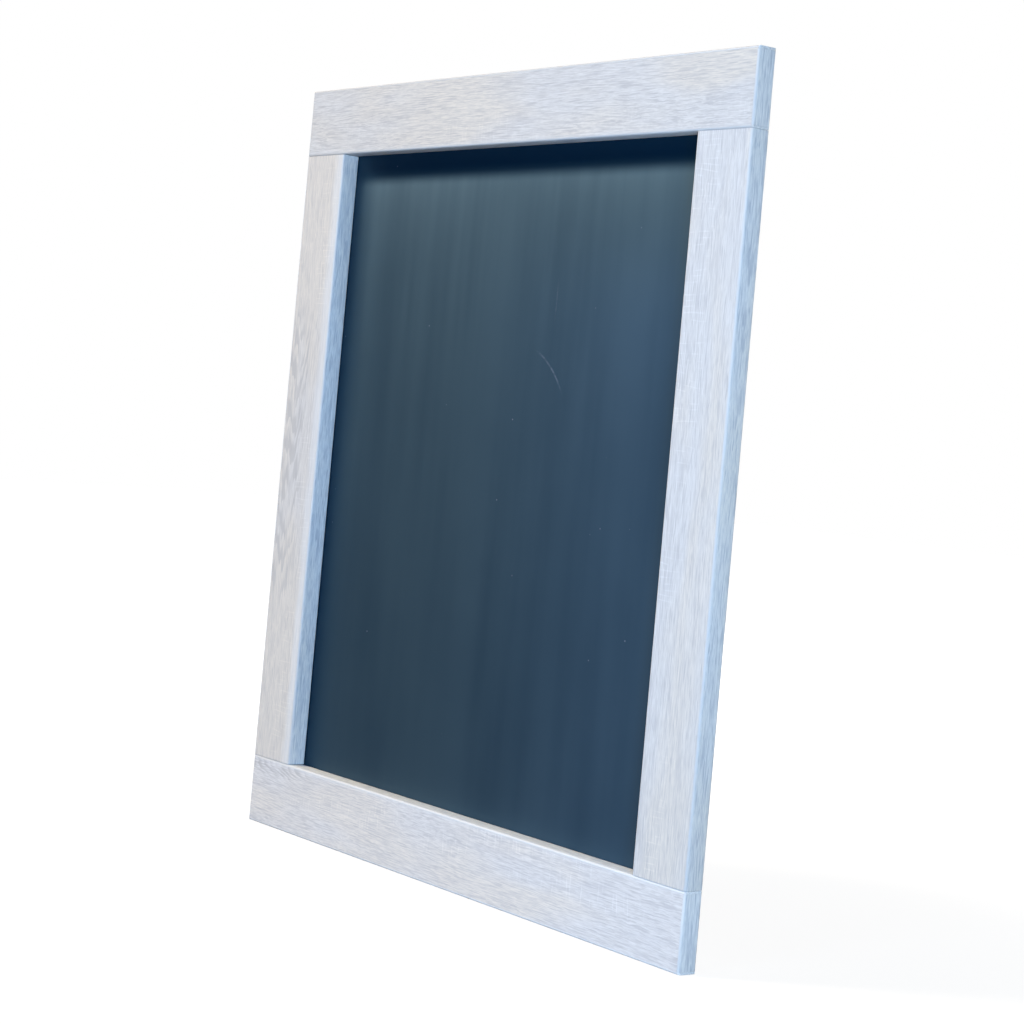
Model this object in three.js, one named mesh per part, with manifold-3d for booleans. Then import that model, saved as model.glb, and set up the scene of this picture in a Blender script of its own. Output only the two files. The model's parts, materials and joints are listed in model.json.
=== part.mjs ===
// Framed chalkboard for a wall.
// Two rails and two stiles of faced board are butt-jointed with dowels, and a coated writing panel is
// screwed to the back of the frame. Two ring hangers on the stiles carry it, and two bumpers keep it
// parallel to the wall.
// Millimetres. +X is to the right seen from the front, +Y goes into the wall and +Z is up.
// The origin is on the wall, midway between the two hooks.

import * as THREE from "three";
import { mergeVertices } from "three/addons/utils/BufferGeometryUtils.js";
import Module from "manifold-3d";

const wasm = await Module();
wasm.setup();

// Frame
const FRAME_WIDTH = 635;
const FRAME_HEIGHT = 711;
const MEMBER_WIDTH = 63.5;
const BOARD_THICKNESS = 18;
const SEAM = 0.3;

// Edging strips on the narrow faces
const EDGING_THICKNESS = 2;
const EDGING_ROUNDING = 1.9;
const GLUE_LINE = 0.05;

// Dowels, along Z through each butt joint
const DOWEL_DIAMETER = 8;
const DOWEL_LENGTH = 30;
const DOWEL_CHAMFER = 0.8;
const DOWEL_PITCH = 28;
const DOWELS_PER_JOINT = 2;
const DOWEL_END_ROOM = 1;

// Writing panel and its screws
const PANEL_THICKNESS = 3;
const PANEL_LAP = 18;
const PANEL_SCREW_LENGTH = 12;
const PANEL_SCREWS_PER_RAIL = 3;
const PANEL_SCREWS_PER_STILE = 4;
const PANEL_SCREW_FROM_SIDE = 72;
const PANEL_SCREW_FROM_TOP = 85;

// Pan-head screws
const SCREW_DIAMETER = 3;
const SCREW_POINT = 3;
const SCREW_HEAD_DIAMETER = 6.6;
const SCREW_HEAD_HEIGHT = 2;
const SCREW_HEAD_RIM_HEIGHT = 0.8;
const SCREW_HEAD_SHOULDER_DIAMETER = 5.4;
const SCREW_HEAD_SHOULDER_HEIGHT = 1.7;
const SCREW_HEAD_TOP_DIAMETER = 3.3;
const SCREW_RECESS_WIDTH = 0.9;
const SCREW_RECESS_SPAN = 3.8;
const SCREW_RECESS_DEPTH = 1.2;

// Ring hangers
const HANGER_DROP = 130;
const RING_WIRE_DIAMETER = 2.5;
const RING_WIDTH_INSIDE = 20;
const RING_ARM = 5;
const RING_CORNER_RADIUS = 2.5;
const STRAP_WIDTH = 15;
const STRAP_THICKNESS = 1.2;
const STRAP_FIRST_HOLE = 10.5;
const STRAP_HOLE_PITCH = 19;
const STRAP_TONGUE_END = 7.5;
const HANGER_SCREW_LENGTH = 13;

// Wall bumpers
const BUMPER_HEIGHT = 6;
const BUMPER_BASE_DIAMETER = 16;
const BUMPER_FACE_DIAMETER = 12;
const BUMPER_ROUNDING = 1;
const BUMPER_INSET = 24;

// Clearances
const SEAT_GAP = 0.05;
const HOLE_CLEARANCE = 0.3;
const PILOT_ROOM = 1;
const RING_PLAY = 0.2;
const RING_REST_GAP = 0.3;

// How far a cutting tool reaches outside the face that it cuts
const TOOL_REACH = 1;

// Corners nearer than this are one
const WELD_DISTANCE = 1e-4;

// Facets
const SCREW_SIDES = 12;
const DOWEL_SIDES = 16;
const ROUNDING_STEPS = 3;
const STRAP_STEPS = 6;
const WIRE_SIDES = 8;
const WIRE_STEPS = 40;
const BUMPER_SIDES = 24;

// Places that follow from the sizes above
const STILE_LENGTH = FRAME_HEIGHT - 2 * MEMBER_WIDTH - 2 * SEAM;
const OPENING_WIDTH = FRAME_WIDTH - 2 * MEMBER_WIDTH;
const OPENING_HEIGHT = FRAME_HEIGHT - 2 * MEMBER_WIDTH;
const CORE_WIDTH = MEMBER_WIDTH - 2 * (EDGING_THICKNESS + GLUE_LINE);
const RAIL_CORE_LENGTH = FRAME_WIDTH - 2 * (EDGING_THICKNESS + GLUE_LINE);
const DOWEL_HOLE_DEPTH = DOWEL_LENGTH / 2 + DOWEL_END_ROOM - SEAM / 2;
const STILE_X = (FRAME_WIDTH - MEMBER_WIDTH) / 2;
const RAIL_Z = (FRAME_HEIGHT - MEMBER_WIDTH) / 2;
const BACK_Y = -BUMPER_HEIGHT - SEAT_GAP;
const FRAME_Y = BACK_Y - BOARD_THICKNESS / 2;
const PANEL_WIDTH = OPENING_WIDTH + 2 * PANEL_LAP;
const PANEL_HEIGHT = OPENING_HEIGHT + 2 * PANEL_LAP;
const PANEL_BACK_Y = BACK_Y + SEAT_GAP + PANEL_THICKNESS;
const PANEL_SCREW_X = (PANEL_WIDTH - PANEL_LAP) / 2;
const PANEL_SCREW_Z = (PANEL_HEIGHT - PANEL_LAP) / 2;
const PANEL_SCREW_PITCH_X = (PANEL_WIDTH - 2 * PANEL_SCREW_FROM_SIDE) / (PANEL_SCREWS_PER_RAIL - 1);
const PANEL_SCREW_PITCH_Z = (PANEL_HEIGHT - 2 * PANEL_SCREW_FROM_TOP) / (PANEL_SCREWS_PER_STILE - 1);
const PANEL_SCREW_INSIDE = PANEL_SCREW_LENGTH - SEAT_GAP - PANEL_THICKNESS - SEAT_GAP;
const STRAP_BACK_Y = BACK_Y + SEAT_GAP + STRAP_THICKNESS;
const HANGER_SCREW_INSIDE = HANGER_SCREW_LENGTH - SEAT_GAP - STRAP_THICKNESS - SEAT_GAP;
const HANGER_X = (PANEL_WIDTH + FRAME_WIDTH) / 4;
const HANGER_Z = FRAME_HEIGHT / 2 - HANGER_DROP;
const HANGER_HOLE_DROPS = [STRAP_FIRST_HOLE, STRAP_FIRST_HOLE + STRAP_HOLE_PITCH];
const RING_WIRE_RADIUS = RING_WIRE_DIAMETER / 2;
const RING_HALF_WIDTH = RING_WIDTH_INSIDE / 2 + RING_WIRE_RADIUS;
const RING_REACH = RING_ARM + RING_HALF_WIDTH;
const CURL_INSIDE = RING_WIRE_RADIUS + RING_PLAY;
const RING_AXIS_Y = STRAP_BACK_Y + CURL_INSIDE;
const RING_LEAN = Math.asin((RING_AXIS_Y - BACK_Y - RING_WIRE_RADIUS - RING_REST_GAP) / RING_REACH);
const BUMPER_X = FRAME_WIDTH / 2 - BUMPER_INSET;
const BUMPER_Z = BUMPER_INSET - FRAME_HEIGHT / 2;
const HOOK_Z = HANGER_Z + (RING_REACH - RING_WIRE_RADIUS) * Math.cos(RING_LEAN);

// Finishes
const finishes = {
  decor: { color: 0xdadce3, roughness: 0.55, metalness: 0 },
  edging: { color: 0xb4c3da, roughness: 0.5, metalness: 0 },
  slate: { color: 0x35495c, roughness: 0.42, metalness: 0 },
  beech: { color: 0xd9b888, roughness: 0.7, metalness: 0 },
  zinc: { color: 0xb9bcbe, roughness: 0.35, metalness: 1 },
  nickel: { color: 0xc4c1b8, roughness: 0.25, metalness: 1 },
  rubber: { color: 0x2b2c2e, roughness: 0.85, metalness: 0 },
};

function piece(name, geometry, finish) {
  const mesh = new THREE.Mesh(geometry, new THREE.MeshStandardMaterial(finishes[finish]));
  mesh.name = name;
  return mesh;
}

function toSolid(geometry) {
  const bare = geometry.clone();
  bare.deleteAttribute("normal");
  bare.deleteAttribute("uv");
  const merged = mergeVertices(bare, WELD_DISTANCE);
  const vertProperties = new Float32Array(merged.attributes.position.array);
  const triVerts = new Uint32Array(merged.index.array);
  return new wasm.Manifold(new wasm.Mesh({ numProp: 3, vertProperties, triVerts }));
}

function toGeometry(solid) {
  const mesh = solid.getMesh();
  const geometry = new THREE.BufferGeometry();
  geometry.setAttribute("position", new THREE.BufferAttribute(mesh.vertProperties, 3));
  geometry.setIndex(new THREE.BufferAttribute(mesh.triVerts, 1));
  geometry.computeVertexNormals();
  return geometry;
}

function cut(geometry, tools) {
  let solid = toSolid(geometry);
  for (const tool of tools) {
    solid = solid.subtract(toSolid(tool));
  }
  return toGeometry(solid);
}

// A pilot drill along Y, from a little outside the board's back to a little past the screw's point.
function pilotDrill(x, z, screwInside) {
  const radius = SCREW_DIAMETER / 2 + HOLE_CLEARANCE;
  const depth = screwInside + PILOT_ROOM;
  const drill = new THREE.CylinderGeometry(radius, radius, depth + TOOL_REACH, SCREW_SIDES);
  drill.translate(x, (BOARD_THICKNESS + TOOL_REACH - depth) / 2, z);
  return drill;
}

// A dowel drill along Z between two heights.
function dowelDrill(x, zLow, zHigh) {
  const radius = DOWEL_DIAMETER / 2 + HOLE_CLEARANCE;
  const drill = new THREE.CylinderGeometry(radius, radius, zHigh - zLow, DOWEL_SIDES);
  drill.rotateX(Math.PI / 2);
  drill.translate(x, 0, (zLow + zHigh) / 2);
  return drill;
}

// Turns what was extruded along Z so that it runs along X, and its drawing's x and y become Y and Z.
function layAlongX(extrusion) {
  const alongX = new THREE.Vector3(1, 0, 0);
  const alongY = new THREE.Vector3(0, 1, 0);
  const alongZ = new THREE.Vector3(0, 0, 1);
  return extrusion.applyMatrix4(new THREE.Matrix4().makeBasis(alongY, alongZ, alongX));
}

// Edging

// The strip's section: a bar as deep as the board, whose two outer corners are rounded over.
function edgingSection(depth, thickness) {
  const radius = Math.min(EDGING_ROUNDING, thickness, depth / 2);
  const half = depth / 2;
  const section = new THREE.Shape();
  section.moveTo(-half, 0);
  section.lineTo(half, 0);
  section.lineTo(half, thickness - radius);
  section.absarc(half - radius, thickness - radius, radius, 0, Math.PI / 2, false);
  section.lineTo(-half + radius, thickness);
  section.absarc(-half + radius, thickness - radius, radius, Math.PI / 2, Math.PI, false);
  section.closePath();
  return section;
}

// A strip that runs along X, with its outer face towards +Z and its glued face at z = 0.
function edgingStrip(length) {
  const strip = new THREE.ExtrudeGeometry(edgingSection(BOARD_THICKNESS, EDGING_THICKNESS), {
    depth: length,
    bevelEnabled: false,
    curveSegments: ROUNDING_STEPS,
  });
  strip.translate(0, 0, -length / 2);
  return layAlongX(strip);
}

// A rail's long strip goes over its end strips, so its own ends are rounded to match them.
function railEdgingStrip() {
  const plan = new THREE.Shape();
  const halfLength = FRAME_WIDTH / 2;
  const halfDepth = BOARD_THICKNESS / 2;
  const radius = Math.min(EDGING_ROUNDING, EDGING_THICKNESS, halfDepth);
  plan.moveTo(-halfLength + radius, -halfDepth);
  plan.lineTo(halfLength - radius, -halfDepth);
  plan.absarc(halfLength - radius, -halfDepth + radius, radius, -Math.PI / 2, 0, false);
  plan.lineTo(halfLength, halfDepth - radius);
  plan.absarc(halfLength - radius, halfDepth - radius, radius, 0, Math.PI / 2, false);
  plan.lineTo(-halfLength + radius, halfDepth);
  plan.absarc(-halfLength + radius, halfDepth - radius, radius, Math.PI / 2, Math.PI, false);
  plan.lineTo(-halfLength, -halfDepth + radius);
  plan.absarc(-halfLength + radius, -halfDepth + radius, radius, Math.PI, Math.PI * 1.5, false);
  const blank = new THREE.ExtrudeGeometry(plan, {
    depth: 3 * EDGING_THICKNESS,
    bevelEnabled: false,
    curveSegments: ROUNDING_STEPS,
  });
  blank.translate(0, 0, -EDGING_THICKNESS);
  return toGeometry(toSolid(edgingStrip(FRAME_WIDTH + 2 * EDGING_THICKNESS)).intersect(toSolid(blank)));
}

// Rails

// Where the dowels stand, in the whole frame's X.
function dowelXs() {
  const acrossJoint = spread(DOWELS_PER_JOINT, DOWEL_PITCH);
  return [-STILE_X, STILE_X].flatMap((stileX) => acrossJoint.map((x) => stileX + x));
}

function spread(count, pitch) {
  return Array.from({ length: count }, (_, i) => (i - (count - 1) / 2) * pitch);
}

// A rail around its own centre. The bottom rail is the top rail turned half round about Y.
function makeRail(name, turned) {
  const rail = new THREE.Group();
  rail.rotation.y = turned ? Math.PI : 0;
  const innerZ = -MEMBER_WIDTH / 2;
  const dowelDrills = dowelXs().map((x) => dowelDrill(x, innerZ - TOOL_REACH, innerZ + DOWEL_HOLE_DEPTH));
  const screwZ = PANEL_SCREW_Z - RAIL_Z;
  const screwXs = spread(PANEL_SCREWS_PER_RAIL, PANEL_SCREW_PITCH_X);
  const pilots = screwXs.map((x) => pilotDrill(x, screwZ, PANEL_SCREW_INSIDE));
  const core = new THREE.BoxGeometry(RAIL_CORE_LENGTH, BOARD_THICKNESS, CORE_WIDTH);
  rail.add(piece(`${name}_board`, cut(core, [...dowelDrills, ...pilots]), "decor"));

  const glueZ = MEMBER_WIDTH / 2 - EDGING_THICKNESS;
  const outer = piece(`${name}_outer_edging`, railEdgingStrip(), "edging");
  outer.position.z = glueZ;
  rail.add(outer);

  // The inner strip is turned half round about Y, so the drills are set in its own frame.
  const stripDrills = dowelXs().map((x) => dowelDrill(-x, -TOOL_REACH, EDGING_THICKNESS + TOOL_REACH));
  const inner = piece(`${name}_inner_edging`, cut(railEdgingStrip(), stripDrills), "edging");
  inner.position.z = -glueZ;
  inner.rotation.y = Math.PI;
  rail.add(inner);

  for (const side of [-1, 1]) {
    const end = (side === 1) === turned ? "left" : "right";
    const cap = piece(`${name}_${end}_end_edging`, edgingStrip(CORE_WIDTH), "edging");
    cap.position.x = side * (FRAME_WIDTH / 2 - EDGING_THICKNESS);
    cap.rotation.y = side * Math.PI / 2;
    rail.add(cap);
  }
  return rail;
}

// Stiles

// A stile around its own centre. side is 1 on the right, where the outer edge is towards +X.
function makeStile(name, side) {
  const stile = new THREE.Group();
  const endZ = STILE_LENGTH / 2;
  const tools = [];
  for (const x of spread(DOWELS_PER_JOINT, DOWEL_PITCH)) {
    tools.push(dowelDrill(x, endZ - DOWEL_HOLE_DEPTH, endZ + TOOL_REACH));
    tools.push(dowelDrill(x, -endZ - TOOL_REACH, -endZ + DOWEL_HOLE_DEPTH));
  }
  for (const z of spread(PANEL_SCREWS_PER_STILE, PANEL_SCREW_PITCH_Z)) {
    tools.push(pilotDrill(side * (PANEL_SCREW_X - STILE_X), z, PANEL_SCREW_INSIDE));
  }
  for (const drop of HANGER_HOLE_DROPS) {
    tools.push(pilotDrill(side * (HANGER_X - STILE_X), HANGER_Z - drop, HANGER_SCREW_INSIDE));
  }
  const core = new THREE.BoxGeometry(CORE_WIDTH, BOARD_THICKNESS, STILE_LENGTH);
  stile.add(piece(`${name}_board`, cut(core, tools), "decor"));

  for (const [edge, outward] of [["outer", side], ["inner", -side]]) {
    const strip = piece(`${name}_${edge}_edging`, edgingStrip(STILE_LENGTH), "edging");
    strip.position.x = outward * (MEMBER_WIDTH / 2 - EDGING_THICKNESS);
    strip.rotation.y = outward * Math.PI / 2;
    stile.add(strip);
  }
  return stile;
}

// Dowels and screws

function dowelGeometry() {
  const radius = DOWEL_DIAMETER / 2;
  const half = DOWEL_LENGTH / 2;
  const profile = [
    new THREE.Vector2(0, -half),
    new THREE.Vector2(radius - DOWEL_CHAMFER, -half),
    new THREE.Vector2(radius, -half + DOWEL_CHAMFER),
    new THREE.Vector2(radius, half - DOWEL_CHAMFER),
    new THREE.Vector2(radius - DOWEL_CHAMFER, half),
    new THREE.Vector2(0, half),
  ];
  const dowel = mergeVertices(bareLathe(profile, DOWEL_SIDES), WELD_DISTANCE);
  dowel.rotateX(Math.PI / 2);
  return dowel;
}

function bareLathe(profile, sides) {
  const lathe = new THREE.LatheGeometry(profile, sides);
  lathe.deleteAttribute("normal");
  lathe.deleteAttribute("uv");
  return lathe;
}

// A pan-head screw along Y: the head's underside is at y = 0 and the shank goes towards -Y.
function screwGeometry(length) {
  const shank = SCREW_DIAMETER / 2;
  const head = SCREW_HEAD_DIAMETER / 2;
  const profile = [
    new THREE.Vector2(0, -length),
    new THREE.Vector2(shank, -length + SCREW_POINT),
    new THREE.Vector2(shank, 0),
    new THREE.Vector2(head, 0),
    new THREE.Vector2(head, SCREW_HEAD_RIM_HEIGHT),
    new THREE.Vector2(SCREW_HEAD_SHOULDER_DIAMETER / 2, SCREW_HEAD_SHOULDER_HEIGHT),
    new THREE.Vector2(SCREW_HEAD_TOP_DIAMETER / 2, SCREW_HEAD_HEIGHT),
    new THREE.Vector2(0, SCREW_HEAD_HEIGHT),
  ];
  const recess = [0, Math.PI / 2].map((turn) => {
    const slot = new THREE.BoxGeometry(SCREW_RECESS_SPAN, 2 * SCREW_RECESS_DEPTH, SCREW_RECESS_WIDTH);
    slot.rotateY(turn);
    slot.translate(0, SCREW_HEAD_HEIGHT, 0);
    return slot;
  });
  return cut(bareLathe(profile, SCREW_SIDES), recess);
}

// Writing panel

function panelScrewPlaces() {
  const places = [];
  for (const side of [-1, 1]) {
    for (const x of spread(PANEL_SCREWS_PER_RAIL, PANEL_SCREW_PITCH_X)) {
      places.push([x, side * PANEL_SCREW_Z]);
    }
    for (const z of spread(PANEL_SCREWS_PER_STILE, PANEL_SCREW_PITCH_Z)) {
      places.push([side * PANEL_SCREW_X, z]);
    }
  }
  return places;
}

function panelGeometry() {
  const radius = SCREW_DIAMETER / 2 + HOLE_CLEARANCE;
  const drills = panelScrewPlaces().map(([x, z]) => {
    const drill = new THREE.CylinderGeometry(radius, radius, 2 * PANEL_THICKNESS, SCREW_SIDES);
    drill.translate(x, 0, z);
    return drill;
  });
  return cut(new THREE.BoxGeometry(PANEL_WIDTH, PANEL_THICKNESS, PANEL_HEIGHT), drills);
}

// Hangers

// The strap around the ring's axis: a tongue against the stile, curled over the ring's bar at the top.
function strapGeometry() {
  const outside = CURL_INSIDE + STRAP_THICKNESS;
  const tongueEnd = STRAP_FIRST_HOLE + STRAP_HOLE_PITCH + STRAP_TONGUE_END;
  const section = new THREE.Shape();
  section.moveTo(-outside, -tongueEnd);
  section.lineTo(-outside, 0);
  section.absarc(0, 0, outside, Math.PI, -Math.PI / 2, true);
  section.lineTo(0, -CURL_INSIDE);
  section.absarc(0, 0, CURL_INSIDE, -Math.PI / 2, Math.PI, false);
  section.lineTo(-CURL_INSIDE, -tongueEnd);
  section.closePath();
  const strip = new THREE.ExtrudeGeometry(section, {
    depth: STRAP_WIDTH,
    bevelEnabled: false,
    curveSegments: STRAP_STEPS,
  });
  strip.translate(0, 0, -STRAP_WIDTH / 2);
  layAlongX(strip);

  // Seen from the back the tongue ends in a half round.
  const outline = new THREE.Shape();
  const half = STRAP_WIDTH / 2;
  const roundZ = -tongueEnd + half;
  outline.moveTo(half + TOOL_REACH, roundZ);
  outline.lineTo(half + TOOL_REACH, outside + TOOL_REACH);
  outline.lineTo(-half - TOOL_REACH, outside + TOOL_REACH);
  outline.lineTo(-half - TOOL_REACH, roundZ);
  outline.lineTo(-half, roundZ);
  outline.absarc(0, roundZ, half, Math.PI, 2 * Math.PI, false);
  outline.closePath();
  const blank = new THREE.ExtrudeGeometry(outline, {
    depth: 2 * (outside + TOOL_REACH),
    bevelEnabled: false,
    curveSegments: STRAP_STEPS,
  });
  blank.translate(0, 0, -outside - TOOL_REACH);
  blank.rotateX(Math.PI / 2);
  const tongue = toSolid(strip).intersect(toSolid(blank));
  const radius = SCREW_DIAMETER / 2 + HOLE_CLEARANCE;
  const drills = HANGER_HOLE_DROPS.map((drop) => {
    const drill = new THREE.CylinderGeometry(radius, radius, 4 * STRAP_THICKNESS, SCREW_SIDES);
    drill.translate(0, -outside, -drop);
    return toSolid(drill);
  });
  return toGeometry(drills.reduce((solid, drill) => solid.subtract(drill), tongue));
}

// The ring's wire, bent in the XZ plane around its straight bar on the X axis.
function ringGeometry() {
  const path = new THREE.Path();
  const straight = RING_HALF_WIDTH - RING_CORNER_RADIUS;
  path.moveTo(0, 0);
  path.lineTo(straight, 0);
  path.absarc(straight, RING_CORNER_RADIUS, RING_CORNER_RADIUS, -Math.PI / 2, 0, false);
  path.lineTo(RING_HALF_WIDTH, RING_ARM);
  path.absarc(0, RING_ARM, RING_HALF_WIDTH, 0, Math.PI, false);
  path.lineTo(-RING_HALF_WIDTH, RING_CORNER_RADIUS);
  path.absarc(-straight, RING_CORNER_RADIUS, RING_CORNER_RADIUS, Math.PI, 1.5 * Math.PI, false);
  path.lineTo(0, 0);
  const centres = path.getSpacedPoints(WIRE_STEPS).slice(0, WIRE_STEPS);
  const positions = [];
  const index = [];
  centres.forEach((centre, i) => {
    const before = centres[(i + WIRE_STEPS - 1) % WIRE_STEPS];
    const after = centres[(i + 1) % WIRE_STEPS];
    const along = after.clone().sub(before).normalize();
    for (let k = 0; k < WIRE_SIDES; k += 1) {
      const angle = (k / WIRE_SIDES) * 2 * Math.PI;
      const sideways = Math.cos(angle) * RING_WIRE_RADIUS;
      const out = Math.sin(angle) * RING_WIRE_RADIUS;
      positions.push(centre.x + along.y * sideways, out, centre.y - along.x * sideways);
      const next = (i + 1) % WIRE_STEPS;
      const turn = (k + 1) % WIRE_SIDES;
      const a = i * WIRE_SIDES + k;
      const b = i * WIRE_SIDES + turn;
      const c = next * WIRE_SIDES + turn;
      const d = next * WIRE_SIDES + k;
      index.push(a, b, c, a, c, d);
    }
  });
  const geometry = new THREE.BufferGeometry();
  geometry.setAttribute("position", new THREE.Float32BufferAttribute(positions, 3));
  geometry.setIndex(index);
  geometry.computeVertexNormals();
  return geometry;
}

// A hanger around its ring's axis. The ring stands up, leaning on the stile's back.
function makeHanger(side) {
  const hanger = new THREE.Group();
  hanger.add(piece(`${side}_hanger_strap`, strapGeometry(), "nickel"));
  const ring = piece(`${side}_hanger_ring`, ringGeometry(), "nickel");
  ring.rotation.x = RING_LEAN;
  hanger.add(ring);
  HANGER_HOLE_DROPS.forEach((drop, i) => {
    const screw = piece(`${side}_hanger_screw_${i + 1}`, screwGeometry(HANGER_SCREW_LENGTH), "zinc");
    screw.position.set(0, STRAP_BACK_Y + SEAT_GAP - RING_AXIS_Y, -drop);
    hanger.add(screw);
  });
  return hanger;
}

// Bumpers

// A bumper along Y, stuck on at y = 0, with its flat face on the wall.
function bumperGeometry() {
  const base = BUMPER_BASE_DIAMETER / 2;
  const face = BUMPER_FACE_DIAMETER / 2;
  const profile = [
    new THREE.Vector2(0, 0),
    new THREE.Vector2(base, 0),
    new THREE.Vector2(face + BUMPER_ROUNDING, BUMPER_HEIGHT - BUMPER_ROUNDING),
    new THREE.Vector2(face, BUMPER_HEIGHT),
    new THREE.Vector2(0, BUMPER_HEIGHT),
  ];
  return mergeVertices(bareLathe(profile, BUMPER_SIDES), WELD_DISTANCE);
}

// The whole chalkboard, around the middle of the frame, then lowered so that the hooks are at z = 0.

const board = new THREE.Group();

const topRail = makeRail("top_rail", false);
topRail.position.set(0, FRAME_Y, RAIL_Z);
board.add(topRail);

const bottomRail = makeRail("bottom_rail", true);
bottomRail.position.set(0, FRAME_Y, -RAIL_Z);
board.add(bottomRail);

for (const [name, side] of [["left", -1], ["right", 1]]) {
  const stile = makeStile(`${name}_stile`, side);
  stile.position.set(side * STILE_X, FRAME_Y, 0);
  board.add(stile);

  const hanger = makeHanger(name);
  hanger.position.set(side * HANGER_X, RING_AXIS_Y, HANGER_Z);
  board.add(hanger);

  const bumper = piece(`${name}_wall_bumper`, bumperGeometry(), "rubber");
  bumper.position.set(side * BUMPER_X, -BUMPER_HEIGHT, BUMPER_Z);
  board.add(bumper);
}

for (const [corner, zSide] of [["top", 1], ["bottom", -1]]) {
  dowelXs().forEach((x, i) => {
    const dowel = piece(`${corner}_dowel_${i + 1}`, dowelGeometry(), "beech");
    dowel.position.set(x, FRAME_Y, zSide * (STILE_LENGTH + SEAM) / 2);
    board.add(dowel);
  });
}

const panel = piece("writing_panel", panelGeometry(), "slate");
panel.position.set(0, BACK_Y + SEAT_GAP + PANEL_THICKNESS / 2, 0);
board.add(panel);

panelScrewPlaces().forEach(([x, z], i) => {
  const number = String(i + 1).padStart(2, "0");
  const screw = piece(`panel_screw_${number}`, screwGeometry(PANEL_SCREW_LENGTH), "zinc");
  screw.position.set(x, PANEL_BACK_Y + SEAT_GAP, z);
  board.add(screw);
});

board.position.z = -HOOK_Z;

const part = new THREE.Group();
part.add(board);

export default part;
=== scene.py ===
# %% [markdown]
# # A framed chalkboard
# The real board is a flat frame of four faced boards round a thin panel with a slate-coloured coating.
# The faced boards carry a printed film of whitewashed oak, and plastic strips with the same print cover
# their narrow faces. The solid model brings every piece at its true size and place, in metres, with +Z up
# and the wall at y = 0. This script gives the pieces their finishes, and remakes the small rounded ones
# with a finer surface.

# %% Load the solid model
import json
import math

import bmesh
import bpy
from mathutils import Matrix, Vector


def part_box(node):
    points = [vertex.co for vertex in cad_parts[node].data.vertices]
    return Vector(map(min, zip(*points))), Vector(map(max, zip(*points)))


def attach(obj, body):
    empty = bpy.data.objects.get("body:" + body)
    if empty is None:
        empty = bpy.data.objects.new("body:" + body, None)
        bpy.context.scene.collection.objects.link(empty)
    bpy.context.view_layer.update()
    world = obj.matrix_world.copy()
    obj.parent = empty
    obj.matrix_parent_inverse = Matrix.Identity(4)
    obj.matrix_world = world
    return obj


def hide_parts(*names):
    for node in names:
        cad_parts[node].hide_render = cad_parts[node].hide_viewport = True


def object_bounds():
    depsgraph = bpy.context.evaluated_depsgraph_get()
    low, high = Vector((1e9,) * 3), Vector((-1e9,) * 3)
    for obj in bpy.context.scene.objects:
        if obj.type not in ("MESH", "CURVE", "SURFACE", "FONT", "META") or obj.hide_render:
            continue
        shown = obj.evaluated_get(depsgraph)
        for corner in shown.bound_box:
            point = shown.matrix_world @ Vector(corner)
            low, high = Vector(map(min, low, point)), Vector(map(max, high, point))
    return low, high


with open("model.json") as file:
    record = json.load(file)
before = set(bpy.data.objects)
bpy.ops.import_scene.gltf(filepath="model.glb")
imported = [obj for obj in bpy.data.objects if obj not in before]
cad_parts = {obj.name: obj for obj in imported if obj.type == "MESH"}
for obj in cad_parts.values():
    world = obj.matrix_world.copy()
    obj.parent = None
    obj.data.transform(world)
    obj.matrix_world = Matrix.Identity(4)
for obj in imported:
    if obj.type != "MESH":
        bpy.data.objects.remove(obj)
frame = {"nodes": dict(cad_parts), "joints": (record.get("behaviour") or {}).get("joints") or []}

CAD_BOX = [list(corner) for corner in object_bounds()]
NODES = frame["nodes"]
MM = 0.001
print(f"{len(NODES)} solid pieces, box {CAD_BOX}")

# %% [markdown]
# ## Camera
# The photograph looks at the board from the right, about 53 degrees off its face, from about the height
# of the board's middle and tilted a little to one side. A position and two directions say that without an
# empty to aim at. They come from fitting the straight edges of the frame. The picture is cropped below
# the lens's axis, which is what the vertical shift does.

# %% Place the camera
CAMERA_AT = Vector((1.6601, -1.2468, -0.1879))
CAMERA_LOOKS = Vector((-0.79736, 0.60337, 0.01298))
CAMERA_UP = Vector((-0.04331, -0.07866, 0.99596))
SENSOR_MM = 36
LENS_MM = 83.52
SHIFT_DOWN = 0.119


def put_in_scene(name, data):
    obj = bpy.data.objects.new(name, data)
    bpy.context.scene.collection.objects.link(obj)
    return obj


def make_camera():
    data = bpy.data.cameras.new("photo_camera")
    data.sensor_width = SENSOR_MM
    data.lens = LENS_MM
    data.shift_y = -SHIFT_DOWN
    camera = put_in_scene("photo_camera", data)
    right = CAMERA_LOOKS.cross(CAMERA_UP).normalized()
    up = right.cross(CAMERA_LOOKS).normalized()
    turn = Matrix((right, up, -CAMERA_LOOKS.normalized())).transposed()
    camera.matrix_world = Matrix.Translation(CAMERA_AT) @ turn.to_4x4()
    bpy.context.scene.camera = camera


make_camera()
off_axis = math.degrees(math.acos(CAMERA_LOOKS.normalized().y))
print(f"camera {off_axis:.0f} degrees off the board's face")

# %% [markdown]
# ## Signals
# Every finish here is a small network of shader nodes, and most of those nodes do arithmetic. Wiring them
# one by one hides the sums that they stand for. So a node's output is wrapped in a small class, and
# Python's own operators put the next Math node behind it: a * b + 1.0 adds two nodes. The wrapped output
# knows its tree, so the helpers need no mention of it.

# %% Signals and nodes


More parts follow.
